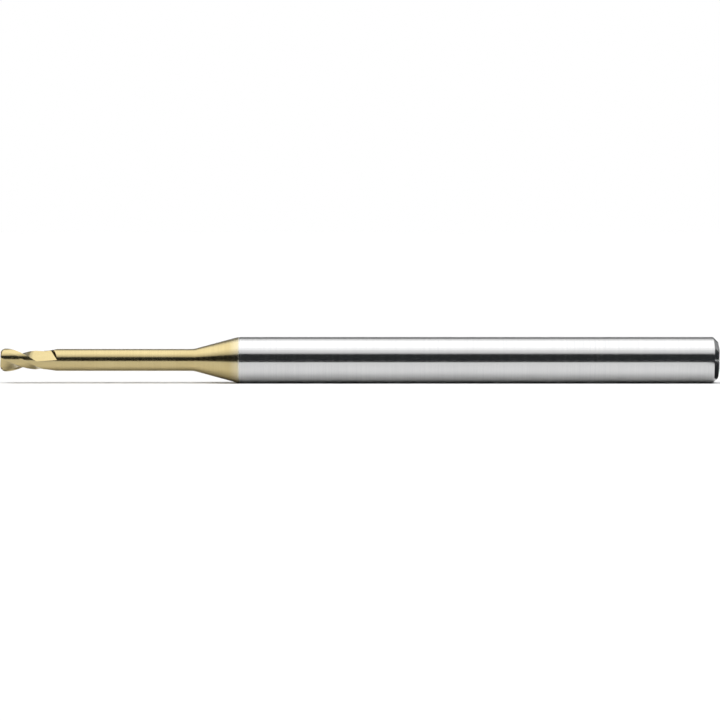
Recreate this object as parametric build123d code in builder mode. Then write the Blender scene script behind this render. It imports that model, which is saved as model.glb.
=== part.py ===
from build123d import *
import os
from math import atan2, cos, degrees, pi, radians, sin, sqrt, tan

# A two-flute corner-radius end mill with a long neck: a coated carbide cutter
# brazed into a ground shank. Millimetres.
#
# The tool's axis is the X axis, tip towards -X and shank towards +X. The origin
# is on the axis at the front end of the shank's wall, where a holder's grip can
# begin. A station is a distance from the tip along the axis. Across the axis,
# angles are counted from -Y towards -Z, the way that a right-hand helix turns
# as it runs towards the shank.

# ---- Driving dimensions: the whole tool ----
OVERALL_LENGTH = 62.6
SHANK_DIAMETER = 4.0
HEAD_DIAMETER = 2.0
NECK_DIAMETER = 1.91
NECK_REACH = 16.8  # from the tip to the small end of the taper
TAPER_HALF_ANGLE = 15.0
NECK_FILLET = 1.0  # hollow between the neck and the taper

# ---- Cutting head ----
HEAD_LENGTH = 3.0  # the length that has the full cutting diameter
HEAD_BACK_RUN = 0.12  # length of the slope from the head down to the neck
CORNER_RADIUS = 0.5
HELIX_ANGLE = 31.0
TIP_EDGE_ANGLE = -106.0  # where the first cutting edge stands at the tip
TOOTH_COUNT = 2

# ---- One tooth, in the section across the axis ----
LAND_ANGLE = 30.0  # primary relief, behind the cutting edge
LAND_DROP = 0.043  # how far the surface has fallen at the back of the land
HEEL_ANGLE = 85.0  # back of the secondary relief, behind the cutting edge
HEEL_DROP = 0.19
RAKE_ANGLE = 8.0
RAKE_DEPTH = 0.12  # height of the rake face
RELIEF_LENGTH = 4.7  # the reliefs follow the helix this far from the tip

# ---- Flute run-out, ground straight into the neck ----
FLUTE_LENGTH = 3.1  # the flute follows the helix this far from the tip
RUNOUT_LENGTH = 1.56  # from there to the middle of the run-out's end wall
RUNOUT_RISE_ANGLE = 2.7  # the run-out gets shallower towards the shank
RUNOUT_WALL_ANGLE = 25.5  # slant of the end wall across the tool

# ---- End teeth ----
END_RELIEF_ANGLE = 7.0
GASH_START = 0.08  # the gashes stop this far from the axis, at the chisel edge
GASH_DIP_ANGLE = 19.0  # the gash gets deeper towards the outside
GASH_BACK_ANGLE = 40.0

# ---- Spigot, socket and braze ----
SPIGOT_DIAMETER = 2.4
SPIGOT_LENGTH = 6.0  # from the back of the taper
SPIGOT_CHAMFER = 0.15
BRAZE_GAP = 0.05  # film thickness round the spigot and at its end
BRAZE_LINE = 0.08  # width of the line that shows between cutter and shank
BRAZE_RECESS = 0.02  # the line lies this far under the shank's surface
DRILL_POINT_HALF_ANGLE = 59.0

# ---- Rear end of the shank ----
END_CHAMFER = 0.42
END_DOME_RADIUS = 5.4

# ---- Worked out from the values above ----
HEAD_RADIUS = HEAD_DIAMETER / 2
NECK_RADIUS = NECK_DIAMETER / 2
SHANK_RADIUS = SHANK_DIAMETER / 2
SPIGOT_RADIUS = SPIGOT_DIAMETER / 2
SOCKET_RADIUS = SPIGOT_RADIUS + BRAZE_GAP
LINE_RADIUS = SHANK_RADIUS - BRAZE_RECESS
TAPER_LENGTH = (SHANK_RADIUS - NECK_RADIUS) / tan(radians(TAPER_HALF_ANGLE))
TAPER_BACK = -BRAZE_LINE
TAPER_FRONT = TAPER_BACK - TAPER_LENGTH
TIP = TAPER_FRONT - NECK_REACH
SPIGOT_END = TAPER_BACK + SPIGOT_LENGTH
SOCKET_END = SPIGOT_END + BRAZE_GAP
DRILL_POINT = SOCKET_RADIUS / tan(radians(DRILL_POINT_HALF_ANGLE))
REAR_END = TIP + OVERALL_LENGTH
END_FACE_RADIUS = SHANK_RADIUS - END_CHAMFER
DOME_HEIGHT = END_DOME_RADIUS - sqrt(END_DOME_RADIUS**2 - END_FACE_RADIUS**2)
DOME_EDGE = REAR_END - DOME_HEIGHT
WALL_BACK = DOME_EDGE - END_CHAMFER
LEAD = pi * HEAD_DIAMETER / tan(radians(HELIX_ANGLE))
TOOTH_PITCH = 360 / TOOTH_COUNT
OUTSIDE = 1.4 * max(HEAD_RADIUS, NECK_RADIUS)  # cuts reach out past the blank
LEAD_IN = 0.1  # helical cuts start this far in front of the tip
CUT_MARGIN = 0.2 * HEAD_RADIUS  # helical cuts reach past their edges
CUT_HEIGHT = 0.5 * HEAD_RADIUS


def polar(radius, angle):
    """A point of the section across the axis, from a radius and an angle in degrees."""
    return Vector(radius * cos(radians(angle)), radius * sin(radians(angle)))


def section_plane(station, turn=0):
    """The plane across the axis at a station, turned about the axis with the helix."""
    angle = radians(TIP_EDGE_ANGLE + 360 * station / LEAD + turn)
    across = (0, -cos(angle), -sin(angle))
    return Plane(origin=(TIP + station, 0, 0), x_dir=across, z_dir=(1, 0, 0))


def tilted(plane_x, plane_z, angle):
    """Two directions of a plane turned together, plane_x towards plane_z, by degrees."""
    lean = radians(angle)
    new_x = plane_x * cos(lean) + plane_z * sin(lean)
    new_z = plane_z * cos(lean) - plane_x * sin(lean)
    return new_x, new_z


def flat_cut(first, second):
    """Corners of a cut that takes off what lies outside the line from first to second."""
    along = (second - first).normalized()
    outward = Vector(-along.Y, along.X) * CUT_HEIGHT
    before = first - along * CUT_MARGIN
    after = second + along * CUT_MARGIN
    return (before, after, after + outward, before + outward)


# The corners of one tooth, with its edge at angle 0, and the rake face of the next.
edge = polar(HEAD_RADIUS, 0)
land_back = polar(HEAD_RADIUS - LAND_DROP, LAND_ANGLE)
heel = polar(HEAD_RADIUS - HEEL_DROP, HEEL_ANGLE)
next_edge = polar(HEAD_RADIUS, TOOTH_PITCH)
rake_foot = next_edge + polar(RAKE_DEPTH, TOOTH_PITCH + 180 - RAKE_ANGLE)

# The flute's floor runs straight from the rake's foot to the heel.
floor_run = (heel - rake_foot).normalized()
floor_normal = Vector(-floor_run.Y, floor_run.X)
floor_distance = floor_normal.dot(heel)
floor_angle = degrees(atan2(floor_normal.Y, floor_normal.X))


def helical_cut(corners, length, tooth):
    """A prism of this section that turns with the helix, from the lead-in to a station."""
    start = section_plane(-LEAD_IN, tooth * TOOTH_PITCH)
    with BuildSketch(start) as section:
        Polygon(*corners, align=None)
    run = length + LEAD_IN
    return Solid.extrude_linear_with_rotation(
        section.sketch.face(), start.origin, start.z_dir * run, 360 * run / LEAD
    )


relief_cuts = []
land_cuts = []
flute_cuts = []
floor_end = heel + floor_run * CUT_MARGIN
flute_corners = (
    rake_foot,
    floor_end,
    floor_end + floor_normal * HEAD_RADIUS,
    next_edge + (next_edge - rake_foot).normalized() * CUT_MARGIN,
)
for tooth in range(TOOTH_COUNT):
    relief_cuts.append(helical_cut(flat_cut(heel, land_back), RELIEF_LENGTH, tooth))
    land_cuts.append(helical_cut(flat_cut(land_back, edge), FLUTE_LENGTH, tooth))
    flute_cuts.append(helical_cut(flute_corners, FLUTE_LENGTH, tooth))

# ---- Cutter: head, neck, taper and spigot in one ground blank ----
with BuildPart() as cutter:
    with BuildSketch(Plane.XY) as blank:
        with BuildLine():
            corner_front = (TIP, HEAD_RADIUS - CORNER_RADIUS)
            corner_back = (TIP + CORNER_RADIUS, HEAD_RADIUS)
            Line((TIP, 0), corner_front)
            RadiusArc(corner_front, corner_back, CORNER_RADIUS)
            Polyline(
                corner_back,
                (TIP + HEAD_LENGTH, HEAD_RADIUS),
                (TIP + HEAD_LENGTH + HEAD_BACK_RUN, NECK_RADIUS),
                (TAPER_FRONT, NECK_RADIUS),
                (TAPER_BACK, SHANK_RADIUS),
                (TAPER_BACK, SPIGOT_RADIUS),
                (SPIGOT_END - SPIGOT_CHAMFER, SPIGOT_RADIUS),
                (SPIGOT_END, SPIGOT_RADIUS - SPIGOT_CHAMFER),
                (SPIGOT_END, 0),
                (TIP, 0),
            )
        make_face()
        neck_back = blank.vertices().sort_by_distance((TAPER_FRONT, NECK_RADIUS, 0))[0]
        fillet(neck_back, NECK_FILLET)
    revolve(axis=Axis.X)

    # Secondary reliefs: flat in section, on the helix, past the head and into the neck.
    add(relief_cuts, mode=Mode.SUBTRACT)

    # Lands: the narrow primary relief behind each edge.
    add(land_cuts, mode=Mode.SUBTRACT)

    # Flutes: the rake face in front of each edge and the straight floor.
    add(flute_cuts, mode=Mode.SUBTRACT)

    # Run-outs: each floor goes on straight, rising to a slanted end wall.
    for tooth in range(TOOTH_COUNT):
        flute_end = section_plane(FLUTE_LENGTH, floor_angle + tooth * TOOTH_PITCH)
        outward = flute_end.x_dir
        floor_x, floor_z = tilted(flute_end.z_dir, outward, RUNOUT_RISE_ANGLE)
        floor_start = flute_end.origin + outward * floor_distance
        floor_plane = Plane(origin=floor_start, x_dir=floor_x, z_dir=floor_z)
        wall_lean = OUTSIDE * tan(radians(RUNOUT_WALL_ANGLE))
        with BuildSketch(floor_plane):
            Polygon(
                (0, -OUTSIDE),
                (RUNOUT_LENGTH + wall_lean, -OUTSIDE),
                (RUNOUT_LENGTH - wall_lean, OUTSIDE),
                (0, OUTSIDE),
                align=None,
            )
        extrude(amount=OUTSIDE, mode=Mode.SUBTRACT)

    # End teeth: the face falls away behind each edge, and a gash opens in front of it.
    for tooth in range(TOOTH_COUNT):
        tip_plane = section_plane(0, tooth * TOOTH_PITCH)
        end_relief_plane = Plane(
            origin=tip_plane.origin, x_dir=tip_plane.y_dir, z_dir=tip_plane.x_dir
        )
        with BuildSketch(end_relief_plane):
            Polygon(
                (0, 0),
                (OUTSIDE, OUTSIDE * tan(radians(END_RELIEF_ANGLE))),
                (OUTSIDE, -LEAD_IN),
                (0, -LEAD_IN),
                align=None,
            )
        extrude(amount=OUTSIDE, both=True, mode=Mode.SUBTRACT)
        gash_start = tip_plane.origin + tip_plane.x_dir * GASH_START
        gash_run, _ = tilted(tip_plane.x_dir, tip_plane.z_dir, GASH_DIP_ANGLE)
        gash_plane = Plane(origin=gash_start, x_dir=-tip_plane.y_dir, z_dir=gash_run)
        with BuildSketch(gash_plane):
            Polygon(
                (0, 0),
                (OUTSIDE, OUTSIDE * tan(radians(GASH_BACK_ANGLE))),
                (0, OUTSIDE * tan(radians(GASH_BACK_ANGLE))),
                align=None,
            )
        extrude(amount=2 * OUTSIDE, mode=Mode.SUBTRACT)

# ---- Braze joint: the line behind the taper, the film and the filled drill point ----
with BuildPart() as braze_joint:
    with BuildSketch(Plane.XY):
        with BuildLine():
            Polyline(
                (TAPER_BACK, SPIGOT_RADIUS),
                (TAPER_BACK, LINE_RADIUS),
                (0, LINE_RADIUS),
                (0, SOCKET_RADIUS),
                (SOCKET_END, SOCKET_RADIUS),
                (SOCKET_END + DRILL_POINT, 0),
                (SPIGOT_END, 0),
                (SPIGOT_END, SPIGOT_RADIUS - SPIGOT_CHAMFER),
                (SPIGOT_END - SPIGOT_CHAMFER, SPIGOT_RADIUS),
                (TAPER_BACK, SPIGOT_RADIUS),
            )
        make_face()
    revolve(axis=Axis.X)

# ---- Shank: ground rod with a drilled socket, a chamfer and a slightly domed end ----
with BuildPart() as shank:
    with BuildSketch(Plane.XY):
        with BuildLine():
            Polyline(
                (SOCKET_END + DRILL_POINT, 0),
                (SOCKET_END, SOCKET_RADIUS),
                (0, SOCKET_RADIUS),
                (0, SHANK_RADIUS),
                (WALL_BACK, SHANK_RADIUS),
                (DOME_EDGE, END_FACE_RADIUS),
            )
            RadiusArc((DOME_EDGE, END_FACE_RADIUS), (REAR_END, 0), END_DOME_RADIUS)
            Line((REAR_END, 0), (SOCKET_END + DRILL_POINT, 0))
        make_face()
    revolve(axis=Axis.X)

# ---- Labels and files ----
cutter.part.label = "cutter"
braze_joint.part.label = "braze_joint"
shank.part.label = "shank"
os.makedirs("parts", exist_ok=True)
export_step(cutter.part, "parts/cutter.step")
export_step(braze_joint.part, "parts/braze_joint.step")
export_step(shank.part, "parts/shank.step")
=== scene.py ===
# %% [markdown]
# # A long-neck end mill, finished in Blender
# The tool is a coated carbide cutter brazed into a ground steel shank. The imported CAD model
# gives every piece its size and place, and this lesson gives each piece its ground surface.
# The CAD meshes are coarse, with some thirty facets round the shank. A polished rod shows
# each facet as a stripe, so all three pieces are made again here from finer formulas. The
# other way would be a Subdivision Surface modifier on the CAD meshes, but their loose
# triangles would crumple.

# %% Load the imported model
from math import cos, pi, radians, sin, tan

import bpy
import numpy as np
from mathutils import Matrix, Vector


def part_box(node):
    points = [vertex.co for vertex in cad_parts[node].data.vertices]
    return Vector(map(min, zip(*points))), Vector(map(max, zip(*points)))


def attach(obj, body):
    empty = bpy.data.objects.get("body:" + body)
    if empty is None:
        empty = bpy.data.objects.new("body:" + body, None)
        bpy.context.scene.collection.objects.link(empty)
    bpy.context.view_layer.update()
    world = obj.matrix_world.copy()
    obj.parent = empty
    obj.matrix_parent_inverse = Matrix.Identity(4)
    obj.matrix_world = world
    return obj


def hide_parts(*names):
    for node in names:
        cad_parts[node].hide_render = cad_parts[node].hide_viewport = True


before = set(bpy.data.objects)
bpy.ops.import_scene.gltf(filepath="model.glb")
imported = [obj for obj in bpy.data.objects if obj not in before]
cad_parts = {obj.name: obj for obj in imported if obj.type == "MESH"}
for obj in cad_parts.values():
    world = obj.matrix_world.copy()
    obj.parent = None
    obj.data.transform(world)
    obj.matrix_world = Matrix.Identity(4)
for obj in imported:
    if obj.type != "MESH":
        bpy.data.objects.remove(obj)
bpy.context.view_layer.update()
MM = 0.001

# %% [markdown]
# ## The camera
# A catalogue view of a round tool is taken with a long lens from almost level with its axis.
# A long lens keeps both ends at one scale. A short lens close up would fill the frame too,
# but it would make the middle of the tool look thicker than its ends.

# %% Camera
view_distance = 330 * MM
view_elevation = radians(2.0)
view_middle = 10.49 * MM
view_width = 62.6 * MM

camera_data = bpy.data.cameras.new("catalogue_camera")
camera_data.sensor_width = 36.0
camera_data.lens = camera_data.sensor_width * view_distance / view_width
camera_data.clip_start = 0.01
camera = bpy.data.objects.new("catalogue_camera", camera_data)
bpy.context.scene.collection.objects.link(camera)
camera.location = (
    view_middle,
    -view_distance * cos(view_elevation),
    view_distance * sin(view_elevation),
)
camera.rotation_euler = (pi / 2 - view_elevation, 0.0, 0.0)
bpy.context.scene.camera = camera
bpy.context.scene.view_settings.view_transform = "Standard"
print("lens in mm:", round(camera_data.lens, 1))

# %% [markdown]
# ## Light for a mirror-bright rod
# A ground rod is a curved mirror, so what it shows is the room round it. Long softboxes above
# give the broad white band on its upper half, the pale floor gives the grey lower half, and
# the unlit room between them gives the dark line along the middle. The softboxes are made to
# show in reflections only. A wide, soft sun lights the floor evenly, which no softbox of a
# sensible size could do as far as the horizon. A real softbox is brightest in its middle, so
# it is made here from strips, one beside another.

# %% Softboxes, sun and surroundings
softbox_height = 250 * MM
softbox_length = 1.2


def softbox(name, low_angle, high_angle, radiance):
    """A flat lamp overhead that fills the angles from low to high, seen from the tool.

    A ray at an angle above the level line meets the lamp's height at height / tan(angle).
    """
    near = -softbox_height / tan(radians(low_angle))
    far = -softbox_height / tan(radians(high_angle))
    lamp = bpy.data.lights.new(name, "AREA")
    lamp.shape = "RECTANGLE"
    lamp.size = softbox_length
    lamp.size_y = far - near
    lamp.energy = radiance * pi * lamp.size * lamp.size_y
    box = bpy.data.objects.new(name, lamp)
    box.location = (view_middle, (near + far) / 2, softbox_height)
    box.visible_camera = False
    box.visible_diffuse = False
    bpy.context.scene.collection.objects.link(box)
    print(name, "energy", round(lamp.energy, 2))
    return box


for name, low_angle, high_angle, radiance in (
    ("softbox_front_edge", 33, 41, 0.77),
    ("softbox_front", 41, 53, 1.09),
    ("softbox_near", 53, 65, 1.48),
    ("softbox_top", 65, 115, 1.77),
    ("softbox_far", 115, 130, 1.23),
    ("softbox_back", 130, 162, 0.35),
):
    softbox(name, low_angle, high_angle, radiance)

sun_data = bpy.data.lights.new("soft_sun", "SUN")
sun_data.energy = 3.8
sun_data.angle = radians(80)
sun = bpy.data.objects.new("soft_sun", sun_data)
sun.rotation_euler = (radians(20), 0.0, 0.0)
sun.visible_glossy = False
bpy.context.scene.collection.objects.link(sun)

room = bpy.data.worlds.new("studio_room")
room.use_nodes = True
bpy.context.scene.world = room
room_nodes = room.node_tree.nodes
room_links = room.node_tree.links
room_nodes.clear()
dim_room = room_nodes.new("ShaderNodeBackground")
dim_room.inputs["Color"].default_value = (0.85, 0.95, 1.0, 1.0)
dim_room.inputs["Strength"].default_value = 0.035
white_backdrop = room_nodes.new("ShaderNodeBackground")
white_backdrop.inputs["Color"].default_value = (1.0, 1.0, 1.0, 1.0)
white_backdrop.inputs["Strength"].default_value = 1.0
light_path = room_nodes.new("ShaderNodeLightPath")
choose_room = room_nodes.new("ShaderNodeMixShader")
room_output = room_nodes.new("ShaderNodeOutputWorld")
room_links.new(light_path.outputs["Is Camera Ray"], choose_room.inputs["Fac"])
room_links.new(dim_room.outputs["Background"], choose_room.inputs[1])
room_links.new(white_backdrop.outputs["Background"], choose_room.inputs[2])
room_links.new(choose_room.outputs["Shader"], room_output.inputs["Surface"])

# %% [markdown]
# ## Putting a surface into a mesh
# Every piece is a closed skin: rings of points, with a single point where the skin closes on
# the axis at each end. The points come as arrays, so one small function can join the rings
# into faces for all the pieces. The volume that the skin encloses says whether its faces
# point outwards, and it can be compared with the CAD piece.

# %% Rings of points to a closed mesh


def enclosed_volume(points, faces):
    """Sum over the triangles of corner . (corner x corner) / 6, which is the volume inside."""
    first = points[faces[:, 0]]
    second = points[faces[:, 1]]
    third = points[faces[:, 2]]
    return float(np.einsum("ij,ij->", first, np.cross(second, third)) / 6)


def closed_skin(name, start_pole, rings, end_pole, sharp_angle):
    """A mesh object from rings of points, shaped (rings, points in a ring, 3), in mm.

    Point j of ring i has the number 1 + i * sides + j. Each face joins two neighbours of a
    ring to the same two of the next ring, and a fan of triangles closes each end.
    """
    ring_count, sides = rings.shape[:2]
    points = np.concatenate([start_pole[None], rings.reshape(-1, 3), end_pole[None]])
    number = 1 + np.arange(ring_count * sides).reshape(ring_count, sides)
    after = np.roll(number, -1, axis=1)
    quads = np.stack([number[:-1], number[1:], after[1:], after[:-1]], axis=-1).reshape(-1, 4)
    start_pole_number = np.zeros(sides, dtype=int)
    end_pole_number = np.full(sides, len(points) - 1)
    start_fan = np.stack([start_pole_number, number[0], after[0]], axis=-1)
    end_fan = np.stack([end_pole_number, after[-1], number[-1]], axis=-1)
    triangles = np.concatenate([start_fan, quads[:, :3], quads[:, [0, 2, 3]], end_fan])
    volume = enclosed_volume(points, triangles)
    if volume < 0:
        quads = quads[:, ::-1]
        start_fan = start_fan[:, ::-1]
        end_fan = end_fan[:, ::-1]
    mesh = bpy.data.meshes.new(name)
    faces = start_fan.tolist() + quads.tolist() + end_fan.tolist()
    mesh.from_pydata((points * MM).tolist(), [], faces)
    mesh.shade_smooth()
    mesh.set_sharp_from_angle(angle=radians(sharp_angle))
    mesh.validate()
    piece = bpy.data.objects.new(name, mesh)
    bpy.context.scene.collection.objects.link(piece)
    print(name, "faces", len(mesh.polygons), "volume in mm3", round(abs(volume), 3))
    return piece


# %% [markdown]
# ## Outlines with small rounded corners
# No ground corner is perfectly sharp: a few hundredths of a millimetre of rounding catches the
# light and makes a solid look real. The outline of a turned piece is a few straight runs, and
# each corner between them is replaced with an arc. A Bevel modifier could round the corners
# later, but then the arcs could not be given a different size at every corner.

# %% Rounded outline


def rounded_outline(corners, radii, longest_run=0.25):
    """Points along straight runs from corner to corner, with an arc at each inner corner.

    An arc starts and ends radius * tan(half the turn) from its corner. Its points are the
    mean of start, corner and end, weighted (1 - t)^2, 2t(1 - t) cos(half the turn) and t^2,
    which is an exact arc of a circle. A run is then divided evenly, with two more points
    close to each end so that its shading stays flat.
    """
    corners = np.array(corners, dtype=float)
    pieces = []
    leave = corners[0]
    for index in range(1, len(corners)):
        corner = corners[index]
        last = index == len(corners) - 1
        radius = 0.0 if last else radii[index]
        back = corners[index - 1] - corner
        back = back / np.linalg.norm(back)
        if radius > 0:
            ahead = corners[index + 1] - corner
            ahead = ahead / np.linalg.norm(ahead)
            half_turn = (pi - np.arccos(np.clip(back @ ahead, -1, 1))) / 2
            setback = radius * tan(half_turn)
            arrive = corner + back * setback
        else:
            arrive = corner
        run = np.linalg.norm(arrive - leave)
        steps = np.linspace(0, 1, 2 + int(run / longest_run))
        if run > 0.2:
            near_ends = np.array([0.02, 0.06]) / run
            steps = np.unique(np.concatenate([steps, near_ends, 1 - near_ends]))
        pieces.append(leave + (arrive - leave) * steps[:-1, None])
        if radius > 0:
            depart = corner + ahead * setback
            t = np.linspace(0, 1, 9)[:, None]
            weight = cos(half_turn)
            blend = (1 - t) ** 2 * arrive + 2 * weight * t * (1 - t) * corner + t**2 * depart
            arc = blend / ((1 - t) ** 2 + 2 * weight * t * (1 - t) + t**2)
            pieces.append(arc[:-1])
            leave = depart
        else:
            leave = arrive
    pieces.append(corners[-1][None])
    return np.concatenate(pieces)


def turned(outline, ring_angles):
    """Rings of a turned piece: (x, radius) goes to (x, -radius cos angle, radius sin angle)."""
    x = np.repeat(outline[:, :1], len(ring_angles), axis=1)
    y = -outline[:, 1:] * np.cos(ring_angles)
    z = outline[:, 1:] * np.sin(ring_angles)
    return np.stack([x, y, z], axis=-1)


# %% [markdown]
# ## The shank
# The shank is a steel rod, ground to size between wheels. Its rear end has a chamfer, so that
# it slides into a collet, and a slightly domed face. Its front end is drilled for the
# cutter's spigot. A lathe shape like this is an outline turned about the axis. The Screw
# modifier would do the same, but the outline's points are wanted in the mesh from the start.

# %% Shank
cutter_low, cutter_high = (np.array(corner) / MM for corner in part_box("cutter"))
braze_low, braze_high = (np.array(corner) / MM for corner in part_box("braze_joint"))
shank_high = np.array(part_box("shank")[1]) / MM
tip = cutter_low[0]
spigot_end = cutter_high[0]
taper_back = braze_low[0]
drill_point = braze_high[0]
rear_end = shank_high[0]
shank_radius = 2.0
socket_radius = 1.25
drill_half_angle = radians(59)
socket_end = drill_point - socket_radius / tan(drill_half_angle)
chamfer = 0.42
dome_radius = 5.4
print("tip", tip, "taper back", taper_back, "rear end", rear_end)

face_radius = shank_radius - chamfer
dome_height = dome_radius - np.sqrt(dome_radius**2 - face_radius**2)
dome_edge = rear_end - dome_height
wall_back = dome_edge - chamfer
dome_start_radius = face_radius - 0.16

shank_front = rounded_outline(
    [
        (drill_point, 0),
        (socket_end, socket_radius),
        (0, socket_radius),
        (0, shank_radius),
        (wall_back, shank_radius),
        (dome_edge, face_radius),
        (dome_edge + 0.03, dome_start_radius),
    ],
    [0, 0.05, 0.03, 0.03, 0.05, 0.05, 0],
)
dome_turn = np.linspace(0, np.arcsin(dome_start_radius / dome_radius), 20)[::-1]
dome = np.stack(
    [
        rear_end - dome_radius * (1 - np.cos(dome_turn)),
        dome_radius * np.sin(dome_turn),
    ],
    axis=-1,
)
shank_outline = np.concatenate([shank_front[:-1], dome])
sides_round = 192
round_angles = np.arange(sides_round) * 2 * pi / sides_round
shank = closed_skin(
    "shank_ground_rod",
    np.array([shank_outline[0, 0], 0, 0]),
    turned(shank_outline[1:-1], round_angles),
    np.array([shank_outline[-1, 0], 0, 0]),
    sharp_angle=40,
)

# %% [markdown]
# ## The braze
# Silver braze is drawn into the narrow gap round the spigot and fills the drill point behind
# it. Outside, all that shows is a thin line between the taper and the shank, with its surface
# drawn slightly inwards as liquid metal freezes. The hidden film is part of the same piece,
# as it is on the real tool, so the outline goes round the whole of it.

# %% Braze line, film and plug
spigot_radius = 1.2
spigot_chamfer = 0.15
line_radius = 1.98
meniscus = 0.012
braze_outline = rounded_outline(
    [
        (spigot_end, 0),
        (spigot_end, spigot_radius - spigot_chamfer),
        (spigot_end - spigot_chamfer, spigot_radius),
        (taper_back, spigot_radius),
        (taper_back, line_radius),
        (taper_back * 0.5, line_radius - meniscus),
        (0, line_radius),
        (0, socket_radius),
        (socket_end, socket_radius),
        (drill_point, 0),
    ],
    [0, 0, 0, 0, 0, 0.1, 0, 0, 0, 0],
)
braze = closed_skin(
    "braze_line_and_film",
    np.array([braze_outline[0, 0], 0, 0]),
    turned(braze_outline[1:-1], round_angles),
    np.array([braze_outline[-1, 0], 0, 0]),
    sharp_angle=40,
)

# %% [markdown]
# ## One tooth in section
# Across the axis, the cutting head is two teeth set half a turn apart. Going round from one
# cutting edge to the next, there is the rake face, the straight floor of the flute, the heel,
# the secondary relief and the narrow land that ends at the next edge. Complex numbers suit a
# section like this, because multiplying by exp(i angle) turns it about the axis. The real
# part points at the front, -Y, and the imaginary part points up, +Z.

# %% Section of one tooth
head_radius = 1.0
neck_radius = 0.955
rake_depth = 0.12
heel_angle = radians(95)
heel_radius = 0.81
land_back_angle = radians(150)
land_back_radius = 0.957
rake_share = np.linspace(0, 1, 5)[:-1]
floor_share = np.linspace(0, 1, 31)[:-1]
relief_share = np.linspace(0, 1, 25)[:-1]
land_share = np.linspace(0, 1, 25)[:-1]
half_turn_columns = sum(map(len, (rake_share, floor_share, relief_share, land_share)))


def tooth_section(hook, fullness):
    """Half a turn of the head's section, from one edge to just before the next.

    The edge is at 1. The rake's foot is 1 - depth * exp(i hook). Rake and floor are straight
    lines. The land is a spiral, whose radius grows evenly with the angle. The relief goes
    from a straight line, at fullness 0, to such a spiral, at 1. hook, in radians, and
    fullness have one value for each row.
    """
    edge = head_radius + 0 * hook
    foot = head_radius - rake_depth * np.exp(1j * hook)
    heel = heel_radius * np.exp(1j * heel_angle)
    land_back = land_back_radius * np.exp(1j * land_back_angle)
    rake = edge + (foot - edge) * rake_share
    floor = foot + (heel - foot) * floor_share
    relief_radius = heel_radius + (land_back_radius - heel_radius) * relief_share
    relief_round = relief_radius * np.exp(
        1j * (heel_angle + (land_back_angle - heel_angle) * relief_share)
    )
    relief_straight = heel + (land_back - heel) * relief_share
    relief = relief_straight + (relief_round - relief_straight) * fullness + 0 * hook
    land_radius = land_back_radius + (head_radius - land_back_radius) * land_share
    land = land_radius * np.exp(
        1j * (land_back_angle + (pi - land_back_angle) * land_share)
    )
    land = land + 0 * hook
    return np.concatenate([rake, floor, relief, land], axis=1)


# %% [markdown]
# ## The helix and the end of the blank
# The section turns as it goes along the axis, one turn in a lead of 10.457 mm, which gives
# the helix angle of 31 degrees at a diameter of 2 mm. The blank that the flutes are ground
# into has a corner radius at the tip and a short slope down to the neck behind the head.

# %% Helix, blank and end faces
helix_angle = radians(31)
lead = 2 * pi * head_radius / tan(helix_angle)
tip_edge_angle = radians(106)
corner_radius = 0.5
head_length = 3.0
slope_length = 0.12
end_relief = radians(7)
gash_dip = radians(19)
gash_back = radians(40)
gash_start = 0.08


def edge_angle(station):
    """Angle of the first edge at a distance from the tip: it falls by a turn in each lead."""
    return tip_edge_angle - 2 * pi * station / lead


def blank_radius(station):
    """Radius behind the corner: full on the head, then a straight slope to the neck."""
    return np.interp(
        station, [head_length, head_length + slope_length], [head_radius, neck_radius]
    )


def end_face(place):
    """Distance from the tip to the end surface, at places in the section.

    It is the greatest of three: the corner arc, r - sqrt(r^2 - (radius - flat)^2); the end
    relief, which falls 7 degrees away from the line of the edges; and the gash in front of
    each edge, a groove that dips 19 degrees outwards and has a 40 degree back.
    """
    from_edge = place * np.exp(-1j * tip_edge_angle)
    flat = head_radius - corner_radius
    over = np.clip(np.abs(place) - flat, 0, corner_radius)
    corner = corner_radius - np.sqrt(corner_radius**2 - over**2)
    relief = np.abs(from_edge.imag) * tan(end_relief)
    side = np.where(from_edge.imag > 0, 1.0, -1.0)
    along = from_edge.real * side
    ahead = from_edge.imag * side
    gash = (along - gash_start) * tan(gash_dip) - ahead * tan(gash_back) / cos(gash_dip)
    return np.maximum(np.maximum(corner, relief), gash)


print("lead in mm:", round(lead, 3))

# %% [markdown]
# ## The end teeth
# The front of the cutter is a small landscape: two end edges, a slope behind each and a gash
# in front of each. It could be cut with Boolean modifiers, but such small slivers often fail.
# Here the tooth's section is shrunk towards the axis in steps, and each point is pushed back
# until it meets the end surface. The section turns with the helix as it goes back, so the
# meeting place is found by halving an interval thirty times.

# %% Cap over the end teeth
tip_hook = radians(-2)
full_hook = radians(8)
blunt_hook = np.full((1, 1), tip_hook)
half_section = tooth_section(blunt_hook, 1.0)
whole_section = np.concatenate([half_section, -half_section], axis=1)
shrink = np.sin(np.linspace(0, pi / 2, 29)[1:])[:, None]
cap_local = whole_section * shrink
low = np.zeros(cap_local.shape)
high = np.full(cap_local.shape, 0.6)
for halving in range(30):
    middle = (low + high) / 2
    inside = end_face(cap_local * np.exp(1j * edge_angle(middle))) > middle
    low = np.where(inside, middle, low)
    high = np.where(inside, high, middle)
cap_station = (low + high) / 2
cap_place = cap_local * np.exp(1j * edge_angle(cap_station))
front_station = cap_station[-1:]
print("end teeth reach back to", round(float(cap_station.max()), 3), "mm")

# %% [markdown]
# ## The fluted head
# Behind the end teeth, each column of points follows the helix to the end of the head. Every
# crease of the tooth is a column, so it stays crisp however the light falls. The rake face
# starts almost radial at the tip and hooks by 8 degrees a little further back. The relief is
# full behind the end teeth and goes flat towards the run-out.

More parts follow.
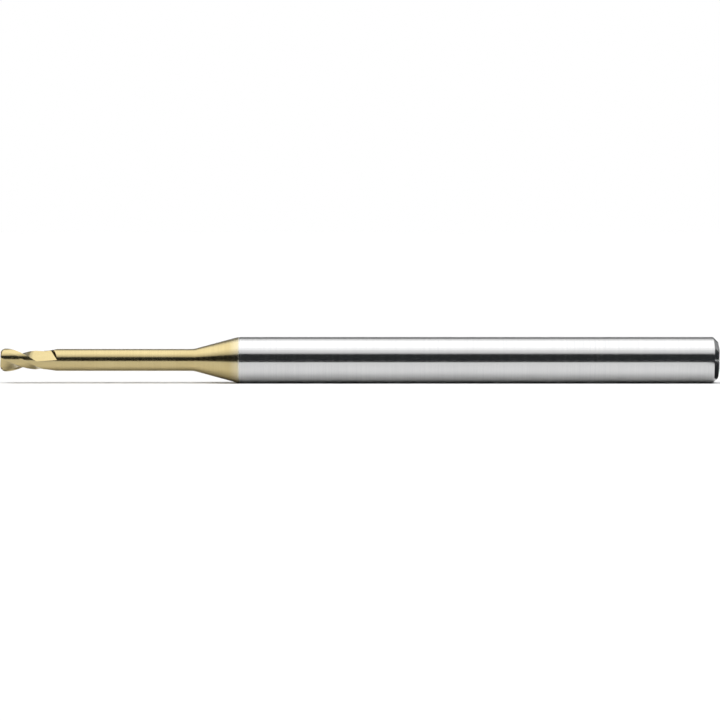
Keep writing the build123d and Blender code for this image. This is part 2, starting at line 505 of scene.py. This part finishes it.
# %% Rows of the fluted head
flute_length = 3.1
travel = np.linspace(0, 1, 61)[1:, None]
head_station = front_station + travel * (head_length - front_station)
last_station = np.array([[3.04], [3.07], [flute_length]]) + 0 * front_station
head_station = np.concatenate([head_station, last_station])
row_station = head_station.mean(axis=1, keepdims=True)
hook = tip_hook + (full_hook - tip_hook) * np.clip((row_station - 0.4) / 0.4, 0, 1)
fullness = np.clip((flute_length - row_station) / 1.5, 0, 1)
half_rows = tooth_section(hook, fullness)
head_place = np.concatenate([half_rows, -half_rows], axis=1)
head_place = head_place * np.exp(1j * edge_angle(head_station))
too_far_out = np.maximum(np.abs(head_place) / blank_radius(head_station), 1.0)
head_place = head_place / too_far_out
print("rows on the head:", len(head_station))

# %% [markdown]
# ## The run-out
# Where the flute ends, the grinding wheel goes on straight into the neck. It leaves a long
# flat that rises slightly and stops at a slanted wall. Beside it the relief follows the helix
# a little further, and then lifts straight out into the round neck. The rows of points lean
# here, so that the last of them lies exactly along the foot of the wall.

# %% Run-out rows
floor_normal = edge_angle(flute_length) + radians(49.13)
floor_depth = 0.564
rise = tan(radians(2.7))
wall_station = 4.66
wall_slant = tan(radians(25.5))
heel_point = heel_radius * np.exp(1j * heel_angle)
land_back_point = land_back_radius * np.exp(1j * land_back_angle)
relief_normal = np.angle((land_back_point - heel_point) / 1j)
relief_depth = float((heel_point * np.exp(-1j * relief_normal)).real)
fade_start = 3.8
fade_end = 4.95
lift_power = 1.6
rake_part = 0.09
smallest_gap = 0.02


def relief_turn(station):
    """Angle that the relief has turned through: the helix, as far as where it lifts out."""
    return edge_angle(np.minimum(station, fade_start))


def relief_depth_at(station):
    """Distance of the flat relief from the axis, which rises to the neck at the run-out."""
    lifted = np.clip((station - fade_start) / (fade_end - fade_start), 0, 1)
    lifted = lifted**lift_power
    return relief_depth + (neck_radius - relief_depth) * lifted


def relief_radius_at(angle, station):
    """Radius of the flat relief at an angle from the edge: depth / cos(angle from its normal).

    Where the flat would lie outside the neck, the neck's radius is the answer.
    """
    from_normal = np.clip((angle - relief_normal + pi) % (2 * pi) - pi, -1.2, 1.2)
    return np.minimum(relief_depth_at(station) / np.cos(from_normal), neck_radius)


def relief_end_at(station):
    """Angle from the edge at which the flat relief runs out into the neck."""
    return relief_normal + np.arccos(np.clip(relief_depth_at(station) / neck_radius, 0, 1))


def floor_bounds(station):
    """Across the flat: where it meets the neck, and where it meets the relief.

    The flat is at a depth from the axis, so it meets the neck at -sqrt(neck^2 - depth^2).
    The other side is found by halving: the point on the flat is inside the relief or not.
    """
    depth = floor_depth + (station - flute_length) * rise
    widest = np.sqrt(neck_radius**2 - depth**2)
    inner = np.zeros_like(depth)
    outer = widest.copy()
    for halving in range(30):
        across = (inner + outer) / 2
        place = (depth + 1j * across) * np.exp(1j * floor_normal)
        turn = np.angle(place * np.exp(-1j * relief_turn(station))) % (2 * pi)
        inside = np.abs(place) < relief_radius_at(turn, station)
        inner = np.where(inside, across, inner)
        outer = np.where(inside, outer, across)
    return depth, -widest, (inner + outer) / 2


def relief_start_at(station):
    """Angle from the edge at which the flat ends and the relief begins."""
    depth, near, far = floor_bounds(station)
    heel_place = (depth + 1j * far) * np.exp(1j * floor_normal)
    return np.angle(heel_place * np.exp(-1j * relief_turn(station))) % (2 * pi)


flat_share = np.concatenate([rake_share * rake_part, rake_part + (1 - rake_part) * floor_share])


def runout_half(station):
    """Half a turn of the run-out: the flat, the relief and the round neck up to the next flat.

    station holds one value per column, so that the rows can lean along the end wall.
    """
    flat_columns = len(flat_share)
    relief_columns = flat_columns + len(relief_share)
    depth, near, far = floor_bounds(station[:, :flat_columns])
    flat = (depth + 1j * (near + (far - near) * flat_share)) * np.exp(1j * floor_normal)

    relief_station = station[:, flat_columns:relief_columns]
    start = relief_start_at(relief_station)
    end = np.maximum(relief_end_at(relief_station), start + smallest_gap)
    angle = start + (end - start) * relief_share
    relief_direction = np.exp(1j * (angle + relief_turn(relief_station)))
    relief = relief_radius_at(angle, relief_station) * relief_direction

    arc_station = station[:, relief_columns:]
    start = relief_start_at(arc_station)
    arc_start = np.maximum(relief_end_at(arc_station), start + smallest_gap)
    arc_start = arc_start + relief_turn(arc_station)
    depth, near, far = floor_bounds(arc_station)
    next_flat = floor_normal + np.angle(depth + 1j * near) + pi
    arc = neck_radius * np.exp(1j * (arc_start + (next_flat - arc_start) * land_share))
    return np.concatenate([flat, relief, arc], axis=1)


wall_foot = np.full((1, len(flat_share)), wall_station)
for settling in range(12):
    depth, near, far = floor_bounds(wall_foot)
    wall_foot = wall_station - (near + (far - near) * flat_share) * wall_slant
heel_foot = wall_foot[:, -1:] - (wall_foot[:, -2:-1] - wall_foot[:, -1:])
relief_foot = heel_foot + 0 * relief_share[None]
easing = land_share**2 * (3 - 2 * land_share)
arc_foot = heel_foot + (wall_foot[:, :1] - heel_foot) * easing[None]
runout_foot = np.concatenate([wall_foot, relief_foot, arc_foot], axis=1)
runout_travel = np.linspace(0, 1, 27)[:, None]
runout_start = flute_length + 0.02
runout_station = runout_start + runout_travel * (runout_foot - runout_start)
runout_rows = runout_half(runout_station)
runout_place = np.concatenate([runout_rows, -runout_rows], axis=1)
runout_station = np.concatenate([runout_station, runout_station], axis=1)
print("run-out wall from", round(float(wall_foot.min()), 2), "to", round(float(wall_foot.max()), 2))

# %% [markdown]
# ## The wall and the start of the neck
# The wall is the last print of the wheel. It stands almost square on the flat and leans back a
# little towards the shank, further where it is higher. From there on the columns stay at
# their own angles while the relief fades, and then spread out evenly, because an evenly
# divided cylinder takes the smoothest shading.

# %% Wall and neck rows
wall_rows = runout_half(runout_foot)
wall_round = 0.012
wall_lean = 0.4
spread_start = 5.15
spread_end = 7.15
on_flat = np.arange(half_turn_columns) < len(flat_share)
local = wall_rows * np.exp(-1j * floor_normal)
top_height = np.sqrt(np.maximum(neck_radius**2 - local.imag**2, 0))
for settling in range(12):
    turn = np.angle((top_height + 1j * local.imag) * np.exp(1j * floor_normal))
    turn = (turn - relief_turn(runout_foot)) % (2 * pi)
    surface = relief_radius_at(turn, runout_foot)
    top_height = np.sqrt(np.maximum(surface**2 - local.imag**2, 0))
top_height = np.maximum(top_height, local.real)
wall_top = (top_height + 1j * local.imag) * np.exp(1j * floor_normal)
wall_top = np.where(on_flat, wall_top, wall_rows)
wall_top = np.concatenate([wall_top, -wall_top], axis=1)
wall_height = np.where(on_flat, top_height - local.real, 0)
wall_top_station = runout_foot + wall_round + wall_lean * wall_height
wall_top_station = np.concatenate([wall_top_station, wall_top_station], axis=1)

column_angle = np.unwrap(np.angle(wall_top), axis=1)
fade_travel = np.linspace(0, 1, 13)[1:, None]
fade_station = wall_top_station + fade_travel * (spread_start - wall_top_station)
fade_turn = (column_angle - relief_turn(fade_station)) % pi
fade_radius = relief_radius_at(fade_turn + 0 * fade_station, fade_station)
fade_place = fade_radius * np.exp(1j * column_angle)

even_angle = column_angle[:, :1] + np.arange(2 * half_turn_columns) * pi / half_turn_columns
spread_station = np.linspace(spread_start, spread_end, 24)[1:, None] + 0 * column_angle
spread = np.clip((spread_station - spread_start) / (spread_end - spread_start), 0, 1)
spread = spread**2 * (3 - 2 * spread)
spread_angle = column_angle + (even_angle - column_angle) * spread
spread_place = neck_radius * np.exp(1j * spread_angle)
print("columns round the neck:", even_angle.shape[1])

# %% [markdown]
# ## Neck, taper and spigot
# Behind the head the carbide is slimmer than the head, so that it can reach into a deep
# pocket without rubbing. A taper of 15 degrees a side, with a small hollow at its foot,
# carries it up to the shank's diameter. The spigot behind the taper is hidden in the shank.

# %% Whole cutter
taper_half_angle = radians(15)
taper_front = taper_back - (shank_radius - neck_radius) / tan(taper_half_angle)
rear_outline = rounded_outline(
    [
        (tip + spread_end, neck_radius),
        (taper_front, neck_radius),
        (taper_back, shank_radius),
        (taper_back, spigot_radius),
        (spigot_end - spigot_chamfer, spigot_radius),
        (spigot_end, spigot_radius - spigot_chamfer),
        (spigot_end, 0),
    ],
    [0, 1.0, 0.02, 0.02, 0.02, 0.02, 0],
)
rear_rings = turned(rear_outline[1:-1], even_angle[0])


def head_rings(station, place):
    """Stations and places in the section to points: x, then -real part, then imaginary part."""
    return np.stack([tip + station, -place.real, place.imag], axis=-1)


cutter_rings = np.concatenate(
    [
        head_rings(cap_station, cap_place),
        head_rings(head_station, head_place),
        head_rings(runout_station, runout_place),
        head_rings(wall_top_station, wall_top),
        head_rings(fade_station, fade_place),
        head_rings(spread_station, spread_place),
        rear_rings,
    ]
)
cutter = closed_skin(
    "cutter_coated_carbide",
    np.array([tip, 0, 0]),
    cutter_rings,
    np.array([spigot_end, 0, 0]),
    sharp_angle=24,
)

# %% [markdown]
# ## Where the coating wears, and a painted edge highlight
# A hard coating first rubs thin along the cutting edges and land corners, and the wheel marks
# in the flutes run along the helix while those on the neck run round it. The paler colour laid
# along the edges and the two creases is partly that rubbed coating and partly a painted
# highlight, the glint that light puts on a sharp edge. Two numbers stored at each point tell
# the material where it is: how near an edge, and how far along the teeth.

# %% Point attributes for the cutter
column = np.arange(half_turn_columns)
land_back_column = half_turn_columns - len(land_share)
heel_column = land_back_column - len(relief_share)
to_edge = np.minimum(column, half_turn_columns - column)
edge_width = 1.3
crease_width = 0.8
# Paler band along each edge and crease: partly rubbed coating, partly a painted edge highlight.
rubbed_and_highlit_half = np.exp(-(to_edge / edge_width) ** 2)
for crease in (land_back_column, heel_column):
    crease_rubbed_and_highlit = 0.5 * np.exp(-((column - crease) / crease_width) ** 2)
    rubbed_and_highlit_half = rubbed_and_highlit_half + crease_rubbed_and_highlit
rubbed_and_highlit_ring = np.concatenate([rubbed_and_highlit_half, rubbed_and_highlit_half])
head_row_count = len(cap_station) + len(head_station)
fluted_row_count = head_row_count + len(runout_station)
ring_total = len(cutter_rings)
row = np.arange(ring_total)[:, None]
rubbed_and_highlit = rubbed_and_highlit_ring[None] * (row < head_row_count)
fluted = (row < fluted_row_count) * np.ones((1, 2 * half_turn_columns))
across_tooth = np.tile(column / half_turn_columns, 2)[None] + 0.0 * row


def store(piece, name, ring_values):
    """Puts one number per point on the mesh, with zero at the two poles."""
    values = np.concatenate([[0.0], ring_values.ravel(), [0.0]])
    attribute = piece.data.attributes.new(name, "FLOAT", "POINT")
    attribute.data.foreach_set("value", values.astype(np.float32))


store(cutter, "rubbed_and_highlit_edge", np.clip(rubbed_and_highlit, 0, 1))
store(cutter, "fluted", fluted)
store(cutter, "across_tooth", across_tooth)
print("points with wear:", int((rubbed_and_highlit > 0.3).sum()))

# %% [markdown]
# ## Ground metal
# A ground surface is a mirror with fine scratches that all run one way, round the tool. They
# change the brightness a little from ring to ring and blur the reflection along the axis. A
# noise that is stretched round the tool, and very fine along it, gives both. An image of
# brushed metal would do too, but it would show its edges and repeat.

# %% Material helpers


def new_material(name):
    """A node material that is a metal, and its nodes, links and shader."""
    material = bpy.data.materials.new(name)
    material.use_nodes = True
    nodes = material.node_tree.nodes
    links = material.node_tree.links
    shader = nodes["Principled BSDF"]
    shader.inputs["Metallic"].default_value = 1.0
    return material, nodes, links, shader


def stretched_noise(nodes, links, stretch, detail=3.0):
    """Noise on Object coordinates, scaled by stretch, so many cycles to the metre."""
    place = nodes.new("ShaderNodeTexCoord")
    mapping = nodes.new("ShaderNodeMapping")
    mapping.inputs["Scale"].default_value = stretch
    noise = nodes.new("ShaderNodeTexNoise")
    noise.inputs["Scale"].default_value = 1.0
    noise.inputs["Detail"].default_value = detail
    links.new(place.outputs["Object"], mapping.inputs["Vector"])
    links.new(mapping.outputs["Vector"], noise.inputs["Vector"])
    return noise


def mixed_colour(nodes, links, factor, first, second):
    """A colour that goes from first to second with the factor; each may be a colour or a node."""
    mix = nodes.new("ShaderNodeMix")
    mix.data_type = "RGBA"
    links.new(factor, mix.inputs["Factor"])
    for socket, colour in ((mix.inputs["A"], first), (mix.inputs["B"], second)):
        if isinstance(colour, tuple):
            socket.default_value = (*colour, 1.0)
        else:
            links.new(colour, socket)
    return mix.outputs["Result"]


def ranged(nodes, links, source, low, high, start=0.3, end=0.7):
    """The source's values from start to end, spread over low to high."""
    spread_node = nodes.new("ShaderNodeMapRange")
    spread_node.inputs["From Min"].default_value = start
    spread_node.inputs["From Max"].default_value = end
    spread_node.inputs["To Min"].default_value = low
    spread_node.inputs["To Max"].default_value = high
    links.new(source, spread_node.inputs["Value"])
    return spread_node.outputs["Result"]


def add_bump(nodes, links, shader, height, distance, strength=0.6):
    """A bump from a height, for surface marks of about this distance in metres."""
    bump = nodes.new("ShaderNodeBump")
    bump.inputs["Strength"].default_value = strength
    bump.inputs["Distance"].default_value = distance
    links.new(height, bump.inputs["Height"])
    links.new(bump.outputs["Normal"], shader.inputs["Normal"])


# %% [markdown]
# ## The shank's finish
# Centreless grinding leaves close rings of slightly different brightness, with a few deeper
# ones, and handling leaves faint cloudy patches in the polish.

# %% Ground steel
ground_steel, nodes, links, shader = new_material("ground_steel")
rings_noise = stretched_noise(nodes, links, (9000.0, 90.0, 90.0), detail=4.0)
cloud_noise = stretched_noise(nodes, links, (180.0, 500.0, 500.0), detail=2.0)
ring_colour = mixed_colour(
    nodes,
    links,
    ranged(nodes, links, rings_noise.outputs["Fac"], 0.0, 1.0),
    (0.53, 0.53, 0.535),
    (0.595, 0.595, 0.59),
)
cloud_colour = mixed_colour(
    nodes,
    links,
    ranged(nodes, links, cloud_noise.outputs["Fac"], 0.0, 0.25),
    ring_colour,
    (0.66, 0.66, 0.665),
)
links.new(cloud_colour, shader.inputs["Base Color"])
steel_roughness = ranged(nodes, links, rings_noise.outputs["Fac"], 0.10, 0.19)
links.new(steel_roughness, shader.inputs["Roughness"])
add_bump(nodes, links, shader, rings_noise.outputs["Fac"], 1.5e-6)
shank.data.materials.append(ground_steel)

# %% [markdown]
# ## The braze's finish
# Silver braze stays a little yellow next to steel. It froze from a liquid, so it is smooth but
# slightly rippled, without any wheel marks.

# %% Braze alloy
braze_alloy, nodes, links, shader = new_material("braze_alloy")
ripple_noise = stretched_noise(nodes, links, (3000.0, 3000.0, 3000.0), detail=2.0)
braze_colour = mixed_colour(
    nodes,
    links,
    ranged(nodes, links, ripple_noise.outputs["Fac"], 0.0, 1.0),
    (0.60, 0.56, 0.45),
    (0.74, 0.70, 0.60),
)
links.new(braze_colour, shader.inputs["Base Color"])
links.new(
    ranged(nodes, links, ripple_noise.outputs["Fac"], 0.22, 0.38), shader.inputs["Roughness"]
)
add_bump(nodes, links, shader, ripple_noise.outputs["Fac"], 4e-6)
braze.data.materials.append(braze_alloy)

# %% [markdown]
# ## The cutter's finish
# The carbide has a pale gold nitride coating a few thousandths of a millimetre thick. It
# follows the ground surface under it: rings round the neck and taper, and marks along the
# helix on the teeth. It is a little paler where it thins out at the big end of the taper, and
# along the edges it is paler again: partly rubbed towards the grey of the carbide, partly a
# painted highlight along the edges.

# %% Gold nitride coating
coated_carbide, nodes, links, shader = new_material("coated_carbide")
neck_rings = stretched_noise(nodes, links, (7000.0, 120.0, 120.0), detail=4.0)
tint_noise = stretched_noise(nodes, links, (300.0, 700.0, 700.0), detail=2.0)
gold_tint = mixed_colour(
    nodes,
    links,
    ranged(nodes, links, tint_noise.outputs["Fac"], 0.0, 1.0),
    (0.49, 0.40, 0.198),
    (0.563, 0.465, 0.246),
)
across_attribute = nodes.new("ShaderNodeAttribute")
across_attribute.attribute_name = "across_tooth"
object_place = nodes.new("ShaderNodeTexCoord")
split_place = nodes.new("ShaderNodeSeparateXYZ")
links.new(object_place.outputs["Object"], split_place.inputs["Vector"])
helix_place = nodes.new("ShaderNodeCombineXYZ")
helix_scale_across = nodes.new("ShaderNodeMath")
helix_scale_across.operation = "MULTIPLY"
helix_scale_across.inputs[1].default_value = 90.0
helix_scale_along = nodes.new("ShaderNodeMath")
helix_scale_along.operation = "MULTIPLY"
helix_scale_along.inputs[1].default_value = 900.0
links.new(across_attribute.outputs["Fac"], helix_scale_across.inputs[0])
links.new(split_place.outputs["X"], helix_scale_along.inputs[0])
links.new(helix_scale_across.outputs["Value"], helix_place.inputs["X"])
links.new(helix_scale_along.outputs["Value"], helix_place.inputs["Y"])
helix_marks = nodes.new("ShaderNodeTexNoise")
helix_marks.inputs["Scale"].default_value = 1.0
helix_marks.inputs["Detail"].default_value = 3.0
links.new(helix_place.outputs["Vector"], helix_marks.inputs["Vector"])
fluted_attribute = nodes.new("ShaderNodeAttribute")
fluted_attribute.attribute_name = "fluted"
marks = nodes.new("ShaderNodeMix")
marks.data_type = "FLOAT"
links.new(fluted_attribute.outputs["Fac"], marks.inputs["Factor"])
links.new(neck_rings.outputs["Fac"], marks.inputs["A"])
links.new(helix_marks.outputs["Fac"], marks.inputs["B"])
marked_gold = mixed_colour(
    nodes,
    links,
    ranged(nodes, links, marks.outputs["Result"], 0.45, 0.0),
    gold_tint,
    (0.42, 0.34, 0.17),
)
thin_end = ranged(nodes, links, split_place.outputs["X"], 0.0, 0.6, -0.9 * MM, -0.08 * MM)
paler_gold = mixed_colour(nodes, links, thin_end, marked_gold, (0.62, 0.57, 0.42))
# Paler colour along the edges: partly rubbed coating, partly a painted edge highlight.
rubbed_and_highlit_attribute = nodes.new("ShaderNodeAttribute")
rubbed_and_highlit_attribute.attribute_name = "rubbed_and_highlit_edge"
rubbed_and_highlit_amount = ranged(nodes, links, rubbed_and_highlit_attribute.outputs["Fac"], 0.0, 0.55, 0.15, 1.0)
rubbed_and_highlit_gold = mixed_colour(nodes, links, rubbed_and_highlit_amount, paler_gold, (0.62, 0.58, 0.46))
links.new(rubbed_and_highlit_gold, shader.inputs["Base Color"])
links.new(ranged(nodes, links, marks.outputs["Result"], 0.13, 0.24), shader.inputs["Roughness"])
add_bump(nodes, links, shader, marks.outputs["Result"], 1.5e-6)
cutter.data.materials.append(coated_carbide)

# %% [markdown]
# ## The floor
# A tool is shown on plain white card. The card reaches past everything that the camera can
# see, and it lies just under the shank. It has a faint paper grain.

# %% Floor
floor_mesh = bpy.data.meshes.new("studio_floor")
reach = 8.0
floor_level = -shank_radius * MM - 0.00001
floor_corners = [
    (-reach, -reach, floor_level),
    (reach, -reach, floor_level),
    (reach, reach, floor_level),
    (-reach, reach, floor_level),
]
floor_mesh.from_pydata(floor_corners, [], [(0, 1, 2, 3)])
studio_floor = bpy.data.objects.new("studio_floor", floor_mesh)
bpy.context.scene.collection.objects.link(studio_floor)
white_card, nodes, links, shader = new_material("white_card")
shader.inputs["Metallic"].default_value = 0.0
shader.inputs["Specular IOR Level"].default_value = 0.0
shader.inputs["Roughness"].default_value = 0.9
paper_noise = stretched_noise(nodes, links, (400.0, 400.0, 400.0), detail=2.0)
paper_colour = mixed_colour(
    nodes,
    links,
    ranged(nodes, links, paper_noise.outputs["Fac"], 0.0, 1.0),
    (0.88, 0.88, 0.88),
    (0.90, 0.90, 0.90),
)
links.new(paper_colour, shader.inputs["Base Color"])
floor_mesh.materials.append(white_card)

# %% [markdown]
# ## Dark cards
# Black card stands just out of view in a studio, so that a bright rod shows a clean dark line
# and its rear end stands out against the white. Here one lies in front of the tool, one lies
# past its rear end, and one stands past its tip, where it makes the taper's dark line
# deeper. The card at the rear end stops just behind the tool's axis, so that the end face
# shows some of the white floor from other sides. They are seen by reflections alone, and
# cast no shadow.

# %% Black cards for the reflections


def black_card(name, corners):
    """A flat card through four corners in metres, which only a reflection can see."""
    card_mesh = bpy.data.meshes.new(name)
    card_mesh.from_pydata(corners, [], [(0, 1, 2, 3)])
    card = bpy.data.objects.new(name, card_mesh)
    card.visible_camera = False
    card.visible_diffuse = False
    card.visible_shadow = False
    bpy.context.scene.collection.objects.link(card)
    card_mesh.materials.append(black_paper)
    return card


black_paper, nodes, links, shader = new_material("black_paper")
shader.inputs["Metallic"].default_value = 0.0
shader.inputs["Base Color"].default_value = (0.012, 0.012, 0.013, 1.0)
shader.inputs["Roughness"].default_value = 0.9
shader.inputs["Specular IOR Level"].default_value = 0.1
card_level = floor_level + 0.0001
front_edge = -13 * MM
black_card(
    "black_card_front",
    [
        (-1.0, -1.0, card_level),
        (1.0, -1.0, card_level),
        (1.0, front_edge, card_level),
        (-1.0, front_edge, card_level),
    ],
)
end_edge = (rear_end - 0.1) * MM
end_reach = 300 * MM
end_back = 3 * MM
black_card(
    "black_card_end",
    [
        (end_edge, front_edge, card_level),
        (end_reach, front_edge, card_level),
        (end_reach, end_back, card_level),
        (end_edge, end_back, card_level),
    ],
)
tip_place = -150 * MM
tip_front = -260 * MM
tip_back = 100 * MM
tip_top = 120 * MM
black_card(
    "black_card_tip",
    [
        (tip_place, tip_front, card_level),
        (tip_place, tip_back, card_level),
        (tip_place, tip_back, tip_top),
        (tip_place, tip_front, tip_top),
    ],
)

# %% [markdown]
# ## Fixing the pieces to the CAD model
# Nothing moves on an end mill, so all the pieces ride on its one body. Each takes the place
# of the CAD node that it was made from, which is hidden.

# %% Ride and replace
for piece, node, slot in (
    (cutter, "cutter", "coated_carbide"),
    (braze, "braze_joint", "braze_alloy"),
    (shank, "shank", "ground_steel"),
):
    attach(piece, "root")
    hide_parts(node)

bpy.context.view_layer.update()
